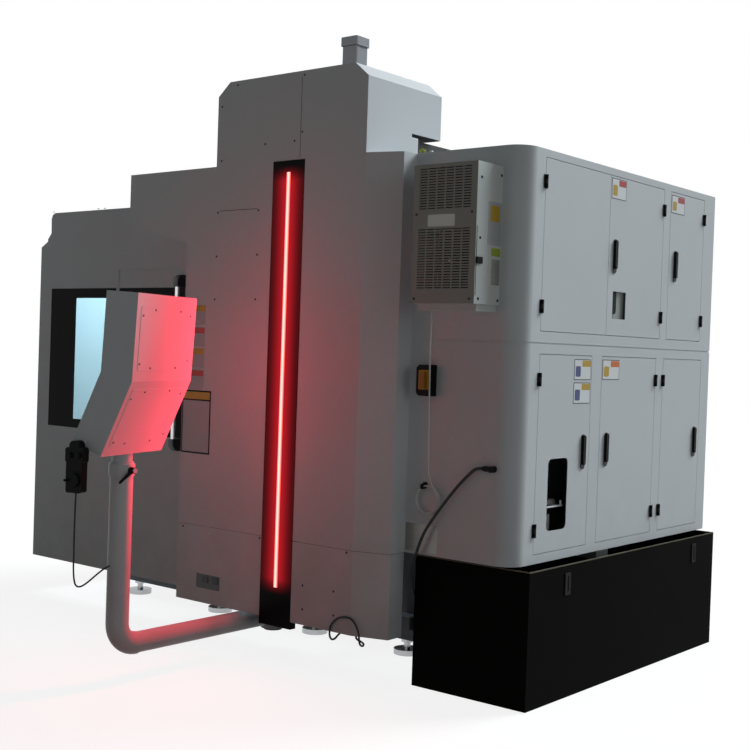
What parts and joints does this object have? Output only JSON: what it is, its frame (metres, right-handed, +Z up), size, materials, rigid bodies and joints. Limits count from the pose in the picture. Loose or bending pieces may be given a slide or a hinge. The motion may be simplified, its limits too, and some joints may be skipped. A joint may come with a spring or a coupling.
{
  "type": "milling machine",
  "caption": "Vertical milling machine in light sheet covers, with a sliding work-room door, light strip, control cabinet with hinged doors, coolant tank and a console on a swing arm.",
  "frame": {"origin": "centre of the bounding box at floor level", "axes": "+Z up; the fascia with the light strip faces -Y; the control cabinet is on the +X side"},
  "size_m": [3.719, 3.3733, 3.204],
  "materials": {
    "white_paint": "semi-gloss light grey enamel",
    "black_paint": "satin black",
    "casting": "painted casting",
    "table_iron": "ground",
    "steel": "ground steel",
    "zinc": "zinc plated",
    "chrome": "polished",
    "aluminium": "anodised",
    "glass": "clear",
    "light": "red lens, lit",
    "white_plastic": "moulded",
    "black_plastic": "moulded",
    "cooler_paint": "powder coat",
    "clear_hose": "clear hose",
    "cable": "cable sheath",
    "panel_grey": "membrane panel",
    "screen_glass": "dark screen",
    "red_plastic": "moulded",
    "hand_grey": "moulded"
  },
  "bodies": {
    "machine": {"levelling_feet": "steel", "bed": "casting", "base_frame": "casting", "column": "white_paint", "axis_rails": "steel", "magazine_cylinder": "aluminium", "left_fascia": "white_paint", "right_fascia": "white_paint", "skirts": "white_paint", "light_panel": "black_paint", "light_strip": "light", "tower_cover": "white_paint", "roof": "white_paint", "room_cover": "white_paint", "front_panel": "white_paint", "fixed_window": "glass", "loop_cable": "cable", "lower_cabinet": "white_paint", "upper_cabinet": "white_paint", "drive_plate": "zinc", "lubrication_unit": "white_plastic", "cabinet_hinges": "black_plastic", "cooler_housing": "cooler_paint", "drain_hose": "clear_hose", "hose_coil": "clear_hose", "main_switch": "black_plastic", "power_cable": "cable", "coolant_tank": "black_paint"},
    "door": {"front_door": "white_paint", "door_window": "glass", "door_handle": "chrome"},
    "saddle": {"saddle": "casting"},
    "table": {"table": "table_iron"},
    "head": {"spindle_head": "white_paint"},
    "spindle": {"spindle": "steel"},
    "carriage": {"magazine_carriage": "casting"},
    "disc": {"tool_disc": "steel"},
    "upper_left": {"upper_left_door": "white_paint"},
    "upper_right": {"upper_right_door": "white_paint"},
    "upper_rear": {"upper_rear_door": "white_paint"},
    "lower_left": {"lower_left_door": "white_paint"},
    "lower_middle": {"lower_middle_door": "white_paint"},
    "lower_rear": {"lower_rear_door": "white_paint"},
    "upper_right_lever": {"upper_right_handle": "black_plastic"},
    "upper_rear_lever": {"upper_rear_handle": "black_plastic"},
    "lower_left_lever": {"lower_left_handle": "black_plastic"},
    "lower_middle_lever": {"lower_middle_handle": "black_plastic"},
    "lower_rear_lever": {"lower_rear_handle": "black_plastic"},
    "fan": {"cooler_fan": "black_plastic"},
    "switch": {"switch_handle": "black_plastic"},
    "arm": {"console_arm": "white_paint"},
    "clamp": {"clamp_lever": "black_plastic"},
    "console": {"console_housing": "white_paint", "operator_panel": "panel_grey", "screen": "screen_glass", "hand_unit": "hand_grey", "hand_unit_cord": "cable"},
    "stop": {"stop_button": "red_plastic"},
    "knob": {"override_knob": "black_plastic"},
    "wheel": {"hand_wheel": "black_plastic"}
  },
  "joints": [
    {"name": "door_slide", "type": "slide", "parent": "machine", "child": "door", "axis": [-1, 0, 0], "range_m": [0, 0.55]},
    {"name": "x_axis", "type": "slide", "parent": "machine", "child": "saddle", "axis": [1, 0, 0], "range_m": [-0.25, 0.25]},
    {"name": "y_axis", "type": "slide", "parent": "saddle", "child": "table", "axis": [0, 1, 0], "range_m": [-0.25, 0.25]},
    {"name": "z_axis", "type": "slide", "parent": "machine", "child": "head", "axis": [0, 0, 1], "range_m": [-0.3, 0.1]},
    {"name": "spindle_spin", "type": "hinge", "parent": "head", "child": "spindle", "pos_m": [-0.75, 0.563, 1.5], "axis": [0, 0, 1], "continuous": true},
    {"name": "magazine_lift", "type": "slide", "parent": "machine", "child": "carriage", "axis": [0, 0, 1], "range_m": [-0.3, 0]},
    {"name": "magazine_turn", "type": "hinge", "parent": "carriage", "child": "disc", "pos_m": [0.471, -0.3, 1.75], "axis": [0, -1, 0], "continuous": true},
    {"name": "upper_left_hinge", "type": "hinge", "parent": "machine", "child": "upper_left", "pos_m": [1.785, -0.1965, 2.12], "axis": [0, 0, -1], "range_deg": [0, 110]},
    {"name": "upper_right_hinge", "type": "hinge", "parent": "machine", "child": "upper_right", "pos_m": [1.785, 1.0175, 2.12], "axis": [0, 0, 1], "range_deg": [0, 110]},
    {"name": "upper_rear_hinge", "type": "hinge", "parent": "machine", "child": "upper_rear", "pos_m": [1.785, 1.5215, 2.12], "axis": [0, 0, 1], "range_deg": [0, 110]},
    {"name": "lower_left_hinge", "type": "hinge", "parent": "machine", "child": "lower_left", "pos_m": [1.785, -0.1925, 1.15], "axis": [0, 0, -1], "range_deg": [0, 110]},
    {"name": "lower_middle_hinge", "type": "hinge", "parent": "machine", "child": "lower_middle", "pos_m": [1.785, 0.9865, 1.15], "axis": [0, 0, 1], "range_deg": [0, 90]},
    {"name": "lower_rear_hinge", "type": "hinge", "parent": "machine", "child": "lower_rear", "pos_m": [1.785, 1.0755, 1.15], "axis": [0, 0, -1], "range_deg": [0, 90]},
    {"name": "upper_right_latch", "type": "hinge", "parent": "upper_right", "child": "upper_right_lever", "pos_m": [1.783, 0.4855, 2.19], "axis": [1, 0, 0], "range_deg": [0, 90]},
    {"name": "upper_rear_latch", "type": "hinge", "parent": "upper_rear", "child": "upper_rear_lever", "pos_m": [1.783, 1.171, 2.19], "axis": [1, 0, 0], "range_deg": [0, 90]},
    {"name": "lower_left_latch", "type": "hinge", "parent": "lower_left", "child": "lower_left_lever", "pos_m": [1.783, 0.233, 1.217], "axis": [-1, 0, 0], "range_deg": [0, 90]},
    {"name": "lower_middle_latch", "type": "hinge", "parent": "lower_middle", "child": "lower_middle_lever", "pos_m": [1.783, 0.464, 1.22], "axis": [1, 0, 0], "range_deg": [0, 90]},
    {"name": "lower_rear_latch", "type": "hinge", "parent": "lower_rear", "child": "lower_rear_lever", "pos_m": [1.783, 1.492, 1.224], "axis": [-1, 0, 0], "range_deg": [0, 90]},
    {"name": "fan_spin", "type": "hinge", "parent": "machine", "child": "fan", "pos_m": [1.4865, -0.5, 2.029], "axis": [0, 1, 0], "continuous": true},
    {"name": "switch_turn", "type": "hinge", "parent": "machine", "child": "switch", "pos_m": [1.291, -0.44, 1.4755], "axis": [0, 1, 0], "range_deg": [0, 90]},
    {"name": "arm_swing", "type": "hinge", "parent": "machine", "child": "arm", "pos_m": [0.226, -0.274, 0.18], "axis": [0, 0, 1], "range_deg": [-55, 15]},
    {"name": "console_swivel", "type": "hinge", "parent": "arm", "child": "console", "pos_m": [0.226, -1.336, 1.05], "axis": [0, 0, 1], "range_deg": [-45, 45]},
    {"name": "clamp_turn", "type": "hinge", "parent": "arm", "child": "clamp", "pos_m": [0.31, -1.336, 1.013], "axis": [1, 0, 0], "range_deg": [0, 60]},
    {"name": "stop_press", "type": "slide", "parent": "console", "child": "stop", "axis": [0.8727, 0.2701, -0.4067], "range_m": [0, 0.005], "stiffness_N_per_m": 500, "springref_m": -0.004},
    {"name": "override_turn", "type": "hinge", "parent": "console", "child": "knob", "pos_m": [0.21935, -1.4731, 1.22406], "axis": [-0.8727, -0.2701, 0.4067], "range_deg": [-135, 135]},
    {"name": "wheel_turn", "type": "hinge", "parent": "console", "child": "wheel", "pos_m": [0.29885, -1.66727, 0.988], "axis": [0.2957, -0.9553, 0], "continuous": true}
  ]
}
